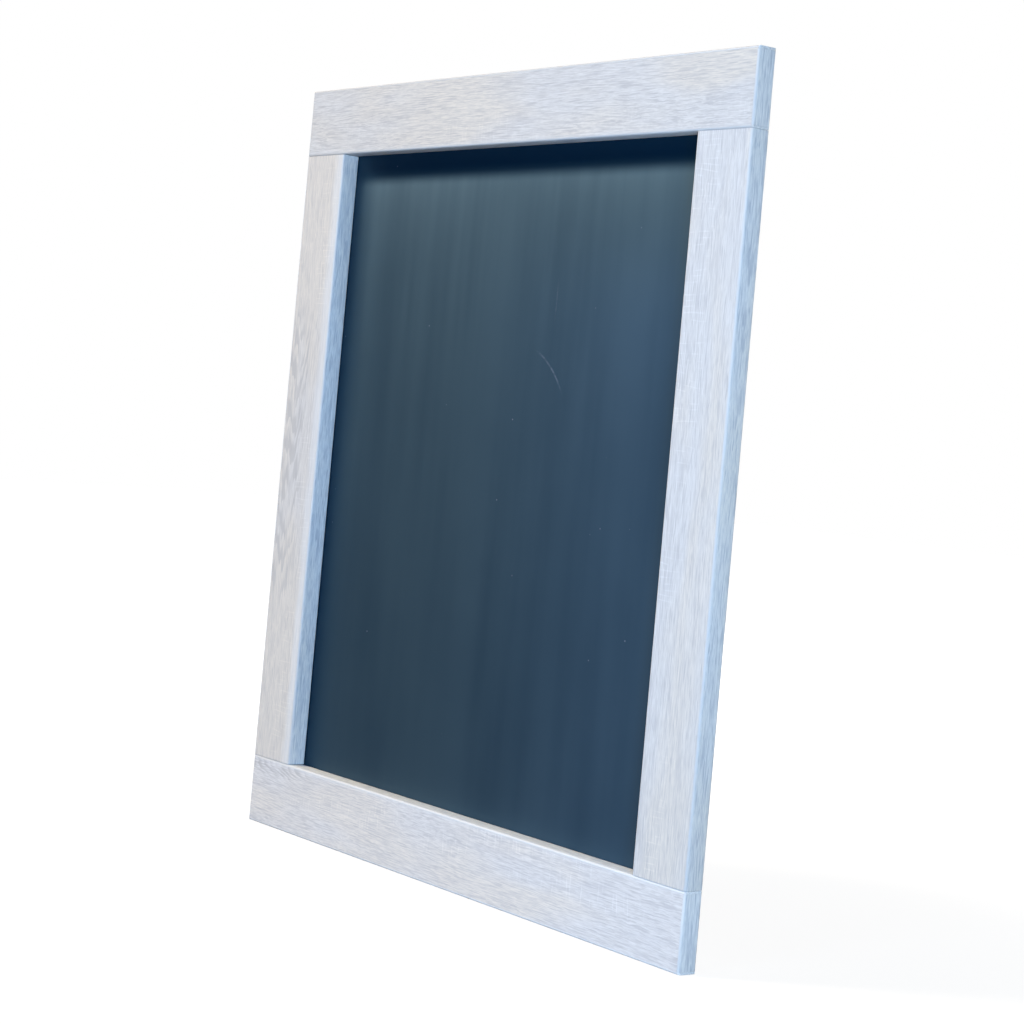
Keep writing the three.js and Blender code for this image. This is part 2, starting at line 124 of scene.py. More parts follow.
class Signal:
    """A node's output. Operators put Math nodes behind a number, and Vector Math nodes behind a vector."""

    def __init__(self, socket):
        self.socket = socket
        self.tree = socket.id_data

    def combine(self, operation, other):
        kind = "ShaderNodeMath" if self.socket.type == "VALUE" else "ShaderNodeVectorMath"
        return add(self.tree, kind, {0: self, 1: other}, operation=operation)[0]

    def __add__(self, other):
        return self.combine("ADD", other)

    def __sub__(self, other):
        return self.combine("SUBTRACT", other)

    def __mul__(self, other):
        return self.combine("MULTIPLY", other)

    def __truediv__(self, other):
        return self.combine("DIVIDE", other)


def fill(socket, value):
    """Links a signal to a socket, or sets the socket to a plain value."""
    if isinstance(value, Signal):
        value.tree.links.new(value.socket, socket)
    else:
        socket.default_value = value


def add(tree, kind, values=None, **settings):
    """Adds a node, fills its sockets, and returns its outputs by name and by number."""
    node = tree.nodes.new(kind)
    for name, value in settings.items():
        setattr(node, name, value)
    for name, value in (values or {}).items():
        fill(node.inputs[name], value)
    outputs = [Signal(socket) for socket in node.outputs]
    return {signal.socket.name: signal for signal in outputs} | dict(enumerate(outputs))


def after(kind, values, **settings):
    """Adds a node to the tree that its first signal is in."""
    tree = next(value.tree for value in values.values() if isinstance(value, Signal))
    return add(tree, kind, values, **settings)


print("signals ready")

# %% [markdown]
# A few kinds of node come up again and again, such as a smooth step between two levels, a mix of two
# colours and a noise. Each gets a short name here. A group opens with named inputs and outputs, so that
# a material can use it like a single node.

# %% Names for the common nodes
FLOAT, VECTOR = "NodeSocketFloat", "NodeSocketVector"
ORIGIN = (0.0, 0.0, 0.0)


def calc(operation, *values, clamp=False):
    return after("ShaderNodeMath", dict(enumerate(values)), operation=operation, use_clamp=clamp)[0]


def distance(first, second):
    return after("ShaderNodeVectorMath", {0: first, 1: second}, operation="DISTANCE")["Value"]


def spread(value, low, high, to_low=0.0, to_high=1.0):
    """Maps low..high of a value to to_low..to_high, smoothly and clamped."""
    sockets = {"Value": value, "From Min": low, "From Max": high, "To Min": to_low, "To Max": to_high}
    return after("ShaderNodeMapRange", sockets, interpolation_type="SMOOTHSTEP")["Result"]


def mix_colour(factor, first, second):
    return after("ShaderNodeMix", {0: factor, 6: first, 7: second}, data_type="RGBA")[2]


def noise(vector, scale, detail=2.0, roughness=0.5, output="Fac"):
    sockets = {"Vector": vector, "Scale": scale, "Detail": detail, "Roughness": roughness}
    return after("ShaderNodeTexNoise", sockets)[output]


def split(vector):
    return after("ShaderNodeSeparateXYZ", {0: vector})


def join(x, y, z):
    return after("ShaderNodeCombineXYZ", {0: x, 1: y, 2: z})[0]


def coordinates(tree, kind="Object"):
    return add(tree, "ShaderNodeTexCoord")[kind]


def new_group(name, inputs, outputs):
    """Opens a shader node group. inputs maps names to defaults, and an output named Vector is a vector."""
    tree = bpy.data.node_groups.new(name, "ShaderNodeTree")
    for label, default in inputs.items():
        kind = VECTOR if isinstance(default, tuple) else FLOAT
        tree.interface.new_socket(label, in_out="INPUT", socket_type=kind).default_value = default
    for label in outputs:
        kind = VECTOR if label == "Vector" else FLOAT
        tree.interface.new_socket(label, in_out="OUTPUT", socket_type=kind)
    given = add(tree, "NodeGroupInput")
    return tree, given, tree.nodes.new("NodeGroupOutput").inputs


def use(tree, group, values=None):
    return add(tree, "ShaderNodeGroup", values, node_tree=group)


def srgb(red, green, blue):
    """A colour as a screen shows it, 0 to 255, as the linear colour that a shader takes."""
    def linear(channel):
        c = channel / 255
        return c / 12.92 if c <= 0.04045 else ((c + 0.055) / 1.055) ** 2.4
    return (linear(red), linear(green), linear(blue), 1.0)


print("node helpers ready")

# %% [markdown]
# ## Grain space
# Wood print has a direction, and it must follow each board: along X on the rails and along Z on the
# stiles and on the short strips at the rails' ends. One group turns the row's coordinates into grain
# space, where x runs along the grain and y and z cross it. Being solid, it needs no UV map and never
# stretches round a corner. An offset moves each board to another stretch of print, so that no two look
# alike.

# %% Group: grain space


def make_grain_space():
    tree, given, result = new_group("grain_space", {"Upright": 0.0, "Offset": ORIGIN}, ["Vector"])
    axes = split(coordinates(tree))
    lying = join(axes["X"], axes["Z"], axes["Y"])
    standing = join(axes["Z"], axes["X"], axes["Y"])
    chosen = after("ShaderNodeMix", {0: given["Upright"], 4: lying, 5: standing}, data_type="VECTOR")[1]
    fill(result["Vector"], chosen + given["Offset"])
    return tree


GRAIN_SPACE = make_grain_space()
print("grain space group ready")

# %% [markdown]
# ## Whitewashed oak print
# Seen close, the print is a dense field of fine strokes along the grain, dark ones with pale gaps between
# them, about a millimetre wide and one to three centimetres long. A few long veins run through them. The
# strokes ripple in patches, and on some boards they give way to arches where the saw cut across the
# growth rings. Short pale lines across the grain copy the marks of a band saw. A picture texture would be
# the usual way. Here each effect is a noise texture, squeezed across the grain, because that stays sharp
# at any distance and every board can have its own. The group puts out a tone, a mask of dark lines, a
# tint and a height, and the materials decide what colours these have.

# %% Rings and saw marks
RINGS_PER_METRE = 360
RING_WAVER, RING_FADE = (13.0, 80.0), (30.0, 90.0)
SAW_PITCH = 4.8 * MM
SAW_SHAKE, SAW_DASHES, SAW_PATCHES = (30.0, 18.0), (190.0, 55.0), (7.0, 20.0)


def stretched_noise(vector, cells, detail, roughness=0.55, output="Fac"):
    """cells says how many cells of noise a metre holds along the grain, and how many across it."""
    along, across = cells
    return noise(vector * (along, across, across), 1.0, detail, roughness, output)


def sideways(vector, cells, amount):
    """A vector that pushes a point across the grain by up to about the amount, in metres."""
    colour = stretched_noise(vector, cells, 1.5, output="Color")
    return (colour - (0.5, 0.5, 0.5)) * (0.0, 4.0, 4.0) * amount


def growth_rings(bent, given):
    """Rings round a pith that slopes behind the face. Each darkens slowly outwards and ends sharply."""
    axes = split(bent)
    depth = axes["X"] * given["Pith Slope"] + given["Pith Depth"]
    side = axes["Y"] - given["Pith Side"]
    uneven = stretched_noise(bent, RING_WAVER, 2.0) * 3.0
    turns = calc("SQRT", side * side + depth * depth) * RINGS_PER_METRE + uneven
    year = calc("FRACT", turns)
    late = spread(year, 0.2, 0.84) * spread(year, 0.88, 1.0, 1.0, 0.0)
    near_pith = spread(calc("ABSOLUTE", side), 10 * MM, 22 * MM, 1.0, 0.25)
    share = calc("ABSOLUTE", axes["X"] - given["Figure At"]) / given["Figure Reach"]
    faded = spread(stretched_noise(bent, RING_FADE, 1.0), 0.32, 0.58, 0.25, 1.0)
    return late * near_pith * spread(share, 0.6, 1.3, 1.0, 0.15) * faded


def saw_marks(space, given):
    """Pale lines across the grain, evenly spaced as a band saw leaves them, in patches."""
    axes = split(space)
    shaken = stretched_noise(space, SAW_SHAKE, 1.0) * 14.0
    comb = spread(calc("SINE", axes["X"] * (2 * math.pi / SAW_PITCH) + shaken), 0.55, 1.0)
    there = spread(stretched_noise(space, SAW_DASHES, 1.0), 0.44, 0.62)
    patch = spread(stretched_noise(space, SAW_PATCHES, 1.0), 0.44, 0.60)
    inside = spread(calc("ABSOLUTE", axes["Y"] - given["Saw Side"]), 12 * MM, 26 * MM, 1.0, 0.0)
    return comb * there * patch * inside * given["Saw Marks"]


print(f"saw marks every {SAW_PITCH / MM} mm, {RINGS_PER_METRE} rings a metre")

# %% Group: oak print
FIBRES, STROKES, VEINS = (110.0, 1250.0), (46.0, 860.0), (4.0, 62.0)
THICKETS, BANDS, MOTTLE = (30.0, 220.0), (5.0, 60.0), (4.5, 17.0)
DRIFT, RIPPLES, UNEASE = (2.4, 9.0), (80.0, 110.0), (11.0, 26.0)


def make_oak_print():
    inputs = {
        "Vector": ORIGIN, "Fineness": 1.0, "Wander": 3 * MM, "Ripple": 0.8 * MM, "Arches": 0.0,
        "Pith Side": 0.15, "Pith Depth": 0.1, "Pith Slope": 0.01, "Figure At": 0.0, "Figure Reach": 0.1,
        "Saw Marks": 0.0, "Saw Side": 0.0, "Cream": 0.0,
    }
    tree, given, result = new_group("oak_print", inputs, ["Tone", "Lines", "Tint", "Height"])
    space = given["Vector"]
    uneasy = spread(stretched_noise(space, UNEASE, 1.0), 0.50, 0.66, 0.4, 2.2)
    slow = sideways(space, DRIFT, given["Wander"])
    bent = space + (slow + sideways(space, RIPPLES, given["Ripple"] * uneasy))
    cut = bent * join(given["Fineness"], 1.0, 1.0)

    rings = growth_rings(bent, given)
    marks = saw_marks(space, given)
    fibres = spread(stretched_noise(cut, FIBRES, 1.0, 0.6), 0.32, 0.68)
    strokes = stretched_noise(cut, STROKES, 0.0)
    gather = spread(stretched_noise(bent, THICKETS, 1.0), 0.34, 0.66, 0.45, 1.0)
    gaps = spread(strokes, 0.33, 0.47, 1.0, 0.0)
    crossing = calc("ABSOLUTE", stretched_noise(bent, VEINS, 0.5) - 0.5)
    veins = spread(crossing, 0.005, 0.022, 0.6, 0.0)
    lines = calc("MAXIMUM", spread(strokes, 0.53, 0.67) * gather, veins * gather)
    bands = stretched_noise(bent, BANDS, 2.0) - 0.5

    tone = fibres * 0.36 + 0.37 + gaps * 0.14 + bands * 0.22 - rings * given["Arches"]
    mottle = stretched_noise(space, MOTTLE, 2.0)
    fill(result["Tone"], calc("ADD", tone, marks, clamp=True))
    fill(result["Lines"], lines)
    fill(result["Tint"], spread(given["Cream"] * 0.12 + mottle, 0.38, 0.62))
    fill(result["Height"], fibres * 0.4 - lines * 0.8 + marks * 0.4)
    return tree


OAK_PRINT = make_oak_print()
print(f"oak print group: {len(OAK_PRINT.nodes)} nodes")

# %% [markdown]
# ## Edge highlights, wear and scraped corners
# Near one edge of each board the film is whiter, bluer and smoother. That is partly the wear where hands
# and cloths rub, and partly a painted highlight, broadest along the left stile's inner edge beside the dark
# panel. The group compares a point's place across the grain with the place of that edge. Where the cutter
# rounded a glued strip, the print is scraped thin and greyer, and that grey is also painted shade that
# tones down the highlight on the rounding. A second mask finds that corner by the way that its surface
# faces.

# %% Group: edge highlight and wear
RAGS = (30.0, 120.0)


def make_edge_highlight_and_wear():
    inputs = {"Vector": ORIGIN, "Edge": 0.0, "Width": 6 * MM}
    tree, given, result = new_group("edge_highlight_and_wear", inputs, ["Mask", "Corner"])
    away = calc("ABSOLUTE", split(given["Vector"])["Y"] - given["Edge"])
    ragged = stretched_noise(given["Vector"], RAGS, 2.0) * 0.8 - 0.4
    # Mask: a painted highlight along the edge, with the wear that rubbing gives.
    fill(result["Mask"], spread(away / given["Width"] + ragged, 0.25, 1.0, 1.0, 0.0))
    # Corner: the front-facing rounding, scraped greyer and painted with shade that tones down its highlight.
    towards_wall = split(coordinates(tree, "Normal"))["Y"]
    fill(result["Corner"], spread(towards_wall, -0.60, -0.12, 1.0, 0.0))
    return tree


EDGE_HIGHLIGHT_AND_WEAR = make_edge_highlight_and_wear()
print("edge polish group ready")

# %% [markdown]
# ## Handling marks
# Anything that hangs in use has a little unevenness that no single colour shows: a faint cloudiness in
# the sheen, and dust. One group makes a cloudy mask and a mask of sparse specks, and the finishes below
# use it at their own scale and strength. A speck is the middle of a Voronoi cell, kept in few cells only.

# %% Group: handling
CELLS_WITHOUT_SPECK = 0.985


def make_handling():
    inputs = {"Vector": ORIGIN, "Cloud Scale": 12.0, "Speck Scale": 220.0}
    tree, given, result = new_group("handling", inputs, ["Clouds", "Specks"])
    fill(result["Clouds"], spread(noise(given["Vector"], given["Cloud Scale"], 4.0, 0.55), 0.3, 0.7))
    cells = after("ShaderNodeTexVoronoi", {"Vector": given["Vector"], "Scale": given["Speck Scale"]})
    rare = calc("GREATER_THAN", split(cells["Color"])["X"], CELLS_WITHOUT_SPECK)
    fill(result["Specks"], spread(cells["Distance"], 0.05, 0.16, 1.0, 0.0) * rare)
    return tree


HANDLING = make_handling()
print("handling group ready")

# %% [markdown]
# ## Board decor and edging
# The film on the broad faces is matt and slightly embossed. The plastic strips on the narrow faces have
# the same print on a whiter ground, with darker pores. Their bluer tint is partly painted cool light, since
# the narrow faces in view turn towards the cool lamps on the right, and their front corner is scraped greyer
# and painted with shade. One function makes both, and each board calls it with its own stretch of print.

# %% Material: printed oak
# The edge colour on the faces is a painted bluish-white highlight, with some wear.
DECOR_TONES = {
    "dark": (187, 189, 194),
    "pale": (224, 227, 233),
    "cream": (230, 227, 223),
    "line": (169, 172, 182),
    "edge_wear_and_painted_light": (222, 229, 239),
}
# The strips' bluer tones are partly painted cool light. Their edge colour is the scraped corner's grey, with
# painted shade.
EDGING_TONES = {
    "dark": (180, 189, 203),
    "pale": (227, 232, 240),
    "cream": (230, 230, 230),
    "line": (138, 152, 177),
    "edge_wear_and_painted_light": (208, 211, 216),
}
RELIEF = 0.08 * MM
MIDDLE_TONE = 0.55
LINE_STRENGTH = 0.42
DECOR_ROUGH, EDGING_ROUGH = 0.52, 0.55


def principled(name, plain=None):
    """Opens a material and sets the values that are plain. Returns it, its tree and its shader's sockets."""
    material = bpy.data.materials.new(name)
    material.use_nodes = True
    tree = material.node_tree
    shader = next(node for node in tree.nodes if node.type == "BSDF_PRINCIPLED").inputs
    for socket, value in (plain or {}).items():
        fill(shader[socket], value)
    return material, tree, shader


def surface(shader, colour, roughness, height, strength, depth):
    """Feeds the shader what changes over the surface."""
    fill(shader["Base Color"], colour)
    fill(shader["Roughness"], roughness)
    bump = after("ShaderNodeBump", {"Strength": strength, "Distance": depth, "Height": height})
    fill(shader["Normal"], bump["Normal"])


def printed_oak(name, tones, spec, tint, roughness, contrast=1.0, **figure):
    """Spec's edge: the painted highlight's place, width and strength, and the shaded corner's strength."""
    material, tree, shader = principled(name, {"Specular IOR Level": 0.3})
    tones = {part: srgb(*map(sum, zip(tone, tint))) for part, tone in tones.items()}
    offset = spec["offset"]
    space = use(tree, GRAIN_SPACE, {"Upright": spec["upright"], "Offset": offset})["Vector"]
    oak = use(tree, OAK_PRINT, {"Vector": space, **figure})
    clouds = use(tree, HANDLING, {"Vector": space})["Clouds"]
    place, width, strength, corner = spec["edge"]
    edge_wear_and_painted_light = use(tree, EDGE_HIGHLIGHT_AND_WEAR, {"Vector": space, "Edge": place + offset[1], "Width": width})
    pale = mix_colour(oak["Tint"], tones["pale"], tones["cream"])
    ground = mix_colour((oak["Tone"] - MIDDLE_TONE) * contrast + MIDDLE_TONE, tones["dark"], pale)
    lined = mix_colour(oak["Lines"] * (LINE_STRENGTH * contrast), ground, tones["line"])
    # Mixes in the painted edge highlight with its wear, and on the strips the scraped corner's painted
    # shade.
    worn_and_painted_edge = edge_wear_and_painted_light["Corner"] * corner + edge_wear_and_painted_light["Mask"] * strength
    colour = mix_colour(worn_and_painted_edge, lined, tones["edge_wear_and_painted_light"])
    rough = clouds * 0.08 + roughness + oak["Lines"] * 0.12 - edge_wear_and_painted_light["Mask"] * 0.06
    surface(shader, colour, rough, oak["Height"], 0.5, RELIEF)
    return material


print("printed oak ready")

# %% [markdown]
# Each member has its own stretch of print. The top rail's is straight. The left stile's is creamy, with
# arches that point down, the bottom rail's sweeps at its left end, and the right stile's is cooler. Saw
# marks show best on the right stile and the bottom rail. The pith's depth is given at the row frame's
# origin, and the offset only moves the board to fresh noise. The tint is added to every tone of the
# board, and the values for edging and ends to those of its strips.

# %% Each member's stretch of print
HALF_WIDTH = 0.3175
INNER_EDGE = 0.256
PLAIN = {
    "arches": 0.0, "pith": (0.10, 0.10, 0.01), "figure": (0.0, 0.1), "upright": 0.0,
    "wander": 3 * MM, "ripple": 0.3 * MM, "contrast": 1.0, "cream": 0.1,
}
FIGURES = {
    "top_rail": PLAIN | {
        "offset": (4.35, 0.021, 0.0), "edge": (0.0535, 3 * MM, 0.2, 0.0), "saw": (0.15, 0.06),
        "ripple": 0.35 * MM, "tint": (-2, -3, -4), "edging": -2, "ends": -2,
    },
    # The bottom rail's strips are much paler, partly as painted light on the upward-facing ledge.
    "bottom_rail": PLAIN | {
        "offset": (7.62, 0.122, 0.0), "edge": (-0.5345, 3 * MM, 0.2, 0.0), "saw": (0.34, -0.548),
        "arches": 0.8, "pith": (-0.530, -0.038, -0.23), "figure": (-0.290, 0.07), "wander": 5 * MM,
        "tint": (8, 6, 5), "edging": 14, "ends": 6,
    },
    "left_stile": PLAIN | {
        # Its inner edge has the broadest painted highlight, with a little wear.
        "offset": ORIGIN, "edge": (-INNER_EDGE, 15 * MM, 0.55, 0.0), "saw": (0.3, -0.268),
        "arches": 1.0, "pith": (-0.302, 0.02, -0.08), "figure": (-0.235, 0.13), "upright": 1.0,
        "contrast": 0.75, "cream": 0.8, "tint": (1, -1, -3), "edging": 3,
    },
    "right_stile": PLAIN | {
        "offset": (2.05, -0.130, 0.0), "edge": (HALF_WIDTH, 3 * MM, 0.2, 0.0), "saw": (0.30, 0.264),
        "upright": 1.0, "contrast": 0.9, "cream": -0.3, "tint": (0, 0, 0), "edging": 0,
    },
}
print(f"{len(FIGURES)} stretches of print")

# %% [markdown]
# A board's strips have the same print from another place on the roll, with finer strokes, no arches, and
# a scraped, painted-shade corner in place of the painted edge highlight. On a rail's ends it runs upright.

# %% Finish for each member
EDGING_SHIFT, ENDS_SHIFT = 0.71, 1.37
NO_EDGE = 9.0
# A strip's front corner: scraped greyer and painted with shade that tones down its highlight.
SCRAPED_AND_SHADED_CORNER = 0.85


def finish_edging(name, spec, shift, paler):
    offset = tuple(value + shift for value in spec["offset"])
    strip = {**spec, "offset": offset, "edge": (NO_EDGE, 10 * MM, 0.0, SCRAPED_AND_SHADED_CORNER)}
    figure = {"Fineness": 1.3, "Ripple": 0.2 * MM}
    return printed_oak(f"{name}_edging", EDGING_TONES, strip, (paler,) * 3, EDGING_ROUGH, **figure)


def finish_member(member, spec):
    along, across = spec["offset"][:2]
    side, depth, slope = spec["pith"]
    figure = {
        "Arches": spec["arches"],
        "Pith Side": side + across,
        "Pith Depth": depth - slope * along,
        "Pith Slope": slope,
        "Figure At": spec["figure"][0] + along,
        "Figure Reach": spec["figure"][1],
        "Saw Marks": spec["saw"][0],
        "Saw Side": spec["saw"][1] + across,
        "Wander": spec["wander"],
        "Ripple": spec["ripple"],
        "Cream": spec["cream"],
    }
    name, contrast = f"{member}_decor", spec["contrast"]
    decor = printed_oak(name, DECOR_TONES, spec, spec["tint"], DECOR_ROUGH, contrast, **figure)
    return decor, finish_edging(member, spec, EDGING_SHIFT, spec["edging"])


MEMBER_FINISHES = {member: finish_member(member, spec) for member, spec in FIGURES.items()}
END_FINISHES = {
    rail: finish_edging(f"{rail}_end", {**FIGURES[rail], "upright": 1.0}, ENDS_SHIFT, FIGURES[rail]["ends"])
    for rail in ("top_rail", "bottom_rail")
}
print(f"{2 * len(MEMBER_FINISHES) + len(END_FINISHES)} printed oak finishes")

# %% [markdown]
# ## Writing surface
# The panel is hardboard. Its front has a thin slate-coloured coating that takes chalk: a nearly black
# navy that scatters a lamp into a broad glow. Chalk that was wiped off leaves a thin pale haze on it, in
# soft upright streaks of several widths. The haze also carries painted light. It is thickest below the top
# edge and thins out downwards, a painted glow of the lamp above. It is left out of the band under the top
# rail and thinned beside the stiles, a painted shadow of the frame. On the right, lower down, it is thicker
# and cooler, painted cool light from the right. A painted mask would be the usual way. Here the distances
# to the opening's edges give the haze, and noise that is stretched upright gives the streaks, because both
# follow the panel's real size.

# %% Group: chalk haze with painted glow, shadow and cool light
PANEL_MARGINS = {"Top": 0.0515, "Left": -0.254, "Right": 0.254}
STREAKS = ((9.0, 1.6, 0.55), (30.0, 2.6, 0.3), (95.0, 4.0, 0.15))
THINNEST_HAZE = 0.081
# Painted glow: below the top rail the haze is thicker, where the lamp's glow is.
PAINTED_GLOW_BELOW_TOP = 0.0178
# Painted shade: the share of haze left beside the stiles, where the frame shades the panel.
HAZE_IN_PAINTED_SHADE = 0.15


def upright_streaks(vector):
    """A row of STREAKS has the cells a metre sideways and upright, and the share of the sum."""
    wide, middling, fine = (noise(vector * (x, 1.0, z), 1.0) * share for x, z, share in STREAKS)
    return spread(wide + middling + fine, 0.36, 0.64)


def make_chalk_haze_and_painted_light():
    inputs = {"Vector": ORIGIN, "Top": 0.0, "Left": 0.0, "Right": 0.0}
    tree, given, result = new_group("chalk_haze_and_painted_light", inputs, ["Haze", "Streaks", "Cool"])
    axes = split(given["Vector"])
    streaks = upright_streaks(given["Vector"])
    below = given["Top"] - axes["Z"]
    from_left = axes["X"] - given["Left"]
    from_right = given["Right"] - axes["X"]
    # Painted shade of the stiles: the haze thins over 40 mm beside the left one and 16 mm beside the right.
    left_stile_painted_shade = spread(from_left, 2 * MM, 40 * MM, HAZE_IN_PAINTED_SHADE, 1.0)
    right_stile_painted_shade = spread(from_right, 2 * MM, 16 * MM, HAZE_IN_PAINTED_SHADE, 1.0)
    # Painted shadow of the top rail: no haze in the band just below it.
    clear_of_painted_frame_shadow = spread(below, 18 * MM, 31 * MM) * left_stile_painted_shade * right_stile_painted_shade
    # Painted glow: thickest just below that band, thinning downwards.
    painted_glow = calc("DIVIDE", PAINTED_GLOW_BELOW_TOP, below + 30 * MM) + THINNEST_HAZE
    # Painted cool light: on the right, lower down, the haze is thicker and bluer.
    right_side = spread(from_left, 150 * MM, 500 * MM)
    low_down = spread(below, 30 * MM, 170 * MM)
    haze = painted_glow * clear_of_painted_frame_shadow * (right_side * (low_down * 0.27 - 0.12) + 1.0)
    fill(result["Haze"], haze * (streaks * 0.32 + 0.84))
    fill(result["Streaks"], streaks)
    fill(result["Cool"], right_side * low_down)
    return tree


CHALK_HAZE_AND_PAINTED_LIGHT = make_chalk_haze_and_painted_light()
print("chalk haze group ready")

# %% [markdown]
# A fingernail or the end of a chalk leaves a short curved stroke. It is a thin ring round a far centre,
# kept only near one point and broken up by fine noise. The panel has two of them, right of its middle.

# %% Group: chalk scuff


def make_scuff():
    inputs = {
        "Vector": ORIGIN, "Centre": ORIGIN, "Middle": ORIGIN,
        "Radius": 50 * MM, "Half Length": 15 * MM, "Width": 1 * MM,
    }
    tree, given, result = new_group("scuff", inputs, ["Mask"])
    place = given["Vector"]
    off_line = calc("ABSOLUTE", distance(place, given["Centre"]) - given["Radius"])
    line = spread(off_line / given["Width"], 0.2, 1.0, 1.0, 0.0)
    here = spread(distance(place, given["Middle"]) / given["Half Length"], 0.3, 1.0, 1.0, 0.0)
    broken = spread(noise(place, 420.0), 0.38, 0.62, 0.3, 1.0)
    fill(result["Mask"], line * here * broken)
    return tree


SCUFF = make_scuff()
SCUFFS = {
    0.16: {"Centre": (0.015, -0.006, -0.205), "Middle": (0.072, -0.006, -0.140),
           "Radius": 86.5 * MM, "Half Length": 30 * MM, "Width": 1.3 * MM},
    0.08: {"Centre": (-0.225, -0.006, -0.080), "Middle": (0.072, -0.006, -0.082),
           "Radius": 297 * MM, "Half Length": 22 * MM, "Width": 0.9 * MM},
}
print(f"scuff group ready, {len(SCUFFS)} scuffs of strengths {list(SCUFFS)}")

# %% [markdown]
# The coating is put together from the slate colour, the haze with its painted glow, frame shadow and cool
# light, the strokes and a few specks of chalk dust.
# The back of the panel is bare and brown, with the fine weave that the press screen leaves. Coating and
# bare board are one solid, so one material tells them apart by the way that the surface faces.

# %% Material: writing panel
SLATE = srgb(0, 23, 47)
HAZE = srgb(129, 153, 163)
# The haze's colour under the painted cool light.
HAZE_IN_PAINTED_COOL_LIGHT = srgb(124, 158, 198)
CHALK = srgb(176, 182, 205)
HARDBOARD = srgb(126, 92, 64)
HARDBOARD_DARK = srgb(98, 68, 46)
GLINT = (0.20, 0.80, 1.0, 1.0)
SCREEN_PITCH = 1.6 * MM
COATED_ROUGH, BARE_ROUGH = 0.485, 0.72


def coating_colour(tree, place, marks):
    haze = use(tree, CHALK_HAZE_AND_PAINTED_LIGHT, {"Vector": place, **PANEL_MARGINS})
    # The haze turns bluer on the lower right: painted cool light.
    haze_colour_and_painted_cool_light = mix_colour(haze["Cool"] * 0.5, HAZE, HAZE_IN_PAINTED_COOL_LIGHT)
    # The haze is chalk residue together with the painted glow and frame shadow.
    coating = mix_colour(haze["Haze"] * (marks["Clouds"] * 0.12 + 0.94), SLATE, haze_colour_and_painted_cool_light)
    for strength, scuff in SCUFFS.items():
        stroke = use(tree, SCUFF, {"Vector": place, **scuff})["Mask"]
        coating = mix_colour(stroke * strength, coating, CHALK)
    return mix_colour(marks["Specks"] * 0.4, coating, CHALK), haze["Streaks"]


def hardboard_back(place, clouds):
    """The bare back's colour and the press screen's height."""
    turn = 2 * math.pi / SCREEN_PITCH
    axes = split(place * (turn, turn, turn))
    weave = calc("SINE", axes["X"]) * calc("SINE", axes["Z"])
    fibre = noise(place, 700.0, 3.0)
    shade = spread(fibre, 0.2, 0.8) * 0.7 + clouds * 0.3
    return mix_colour(weave * 0.08 + shade, HARDBOARD_DARK, HARDBOARD), weave * 0.5 + fibre


def make_panel_finish():
    material, tree, shader = principled("slate_on_hardboard", {"IOR": 1.5, "Specular Tint": GLINT})
    place = coordinates(tree)
    bare = calc("GREATER_THAN", split(coordinates(tree, "Normal"))["Y"], -0.5)
    marks = use(tree, HANDLING, {"Vector": place, "Cloud Scale": 6.0, "Speck Scale": 160.0})
    coating, streaks = coating_colour(tree, place, marks)
    board, pressed = hardboard_back(place, marks["Clouds"])
    rough = (streaks * 0.02 + COATED_ROUGH) * calc("SUBTRACT", 1.0, bare) + bare * BARE_ROUGH
    height = noise(place, 900.0) * 0.12 + pressed * bare
    surface(shader, mix_colour(bare, coating, board), rough, height, 0.4, 0.1 * MM)
    return material


PANEL_FINISH = make_panel_finish()
print("writing panel finish ready")

# %% [markdown]
# ## Metal, beech and rubber
# The ring hangers are nickel plate over bent wire and pressed strip, and the screws are bright zinc.
# Plating is smooth with a soft cloudiness, and it darkens a little where fingers and tools have been. The
# dowels are bare beech with short flecks, and the bumpers are matt rubber with a bloom of dust.

# %% Materials: small parts
FLECKS = (160.0, 900.0)


def plated(name, bright, dull, roughness):
    material, tree, shader = principled(name, {"Metallic": 1.0})
    place = coordinates(tree)
    clouds = use(tree, HANDLING, {"Vector": place, "Cloud Scale": 260.0})["Clouds"]
    colour = mix_colour(clouds, bright, dull)
    surface(shader, colour, clouds * 0.14 + roughness, noise(place, 1800.0), 0.15, 0.03 * MM)
    return material


def make_beech():
    material, tree, shader = principled("beech_dowel")
    space = use(tree, GRAIN_SPACE, {"Upright": 1.0})["Vector"]
    flecks = stretched_noise(space, FLECKS, 3.0)
    colour = mix_colour(spread(flecks, 0.35, 0.65), srgb(196, 156, 112), srgb(222, 188, 144))
    surface(shader, colour, flecks * 0.2 + 0.55, flecks, 0.3, 0.05 * MM)
    return material


def make_rubber():
    material, tree, shader = principled("bumper_rubber")
    place = coordinates(tree)
    marks = use(tree, HANDLING, {"Vector": place, "Cloud Scale": 180.0, "Speck Scale": 1400.0})
    bloom = mix_colour(marks["Clouds"], srgb(38, 38, 40), srgb(58, 57, 57))
    dusty = mix_colour(marks["Specks"] * 0.5, bloom, srgb(120, 118, 114))
    surface(shader, dusty, marks["Clouds"] * 0.1 + 0.72, noise(place, 2200.0), 0.3, 0.05 * MM)
    return material


NICKEL = plated("nickel_plate", srgb(206, 203, 194), srgb(176, 171, 160), 0.22)
ZINC = plated("zinc_plate", srgb(196, 200, 204), srgb(164, 168, 172), 0.26)
BEECH = make_beech()
RUBBER = make_rubber()
print("small parts' finishes ready")

# %% [markdown]
# ## Finishing the solid pieces
# The four boards, the panel and the dowels already have their true shape, flat faces and drilled holes,
# so they stay as they are and only get their finish.

# %% Finish the boards, the panel and the dowels


def set_finish(obj, material):
    obj.data.materials.clear()
    obj.data.materials.append(material)


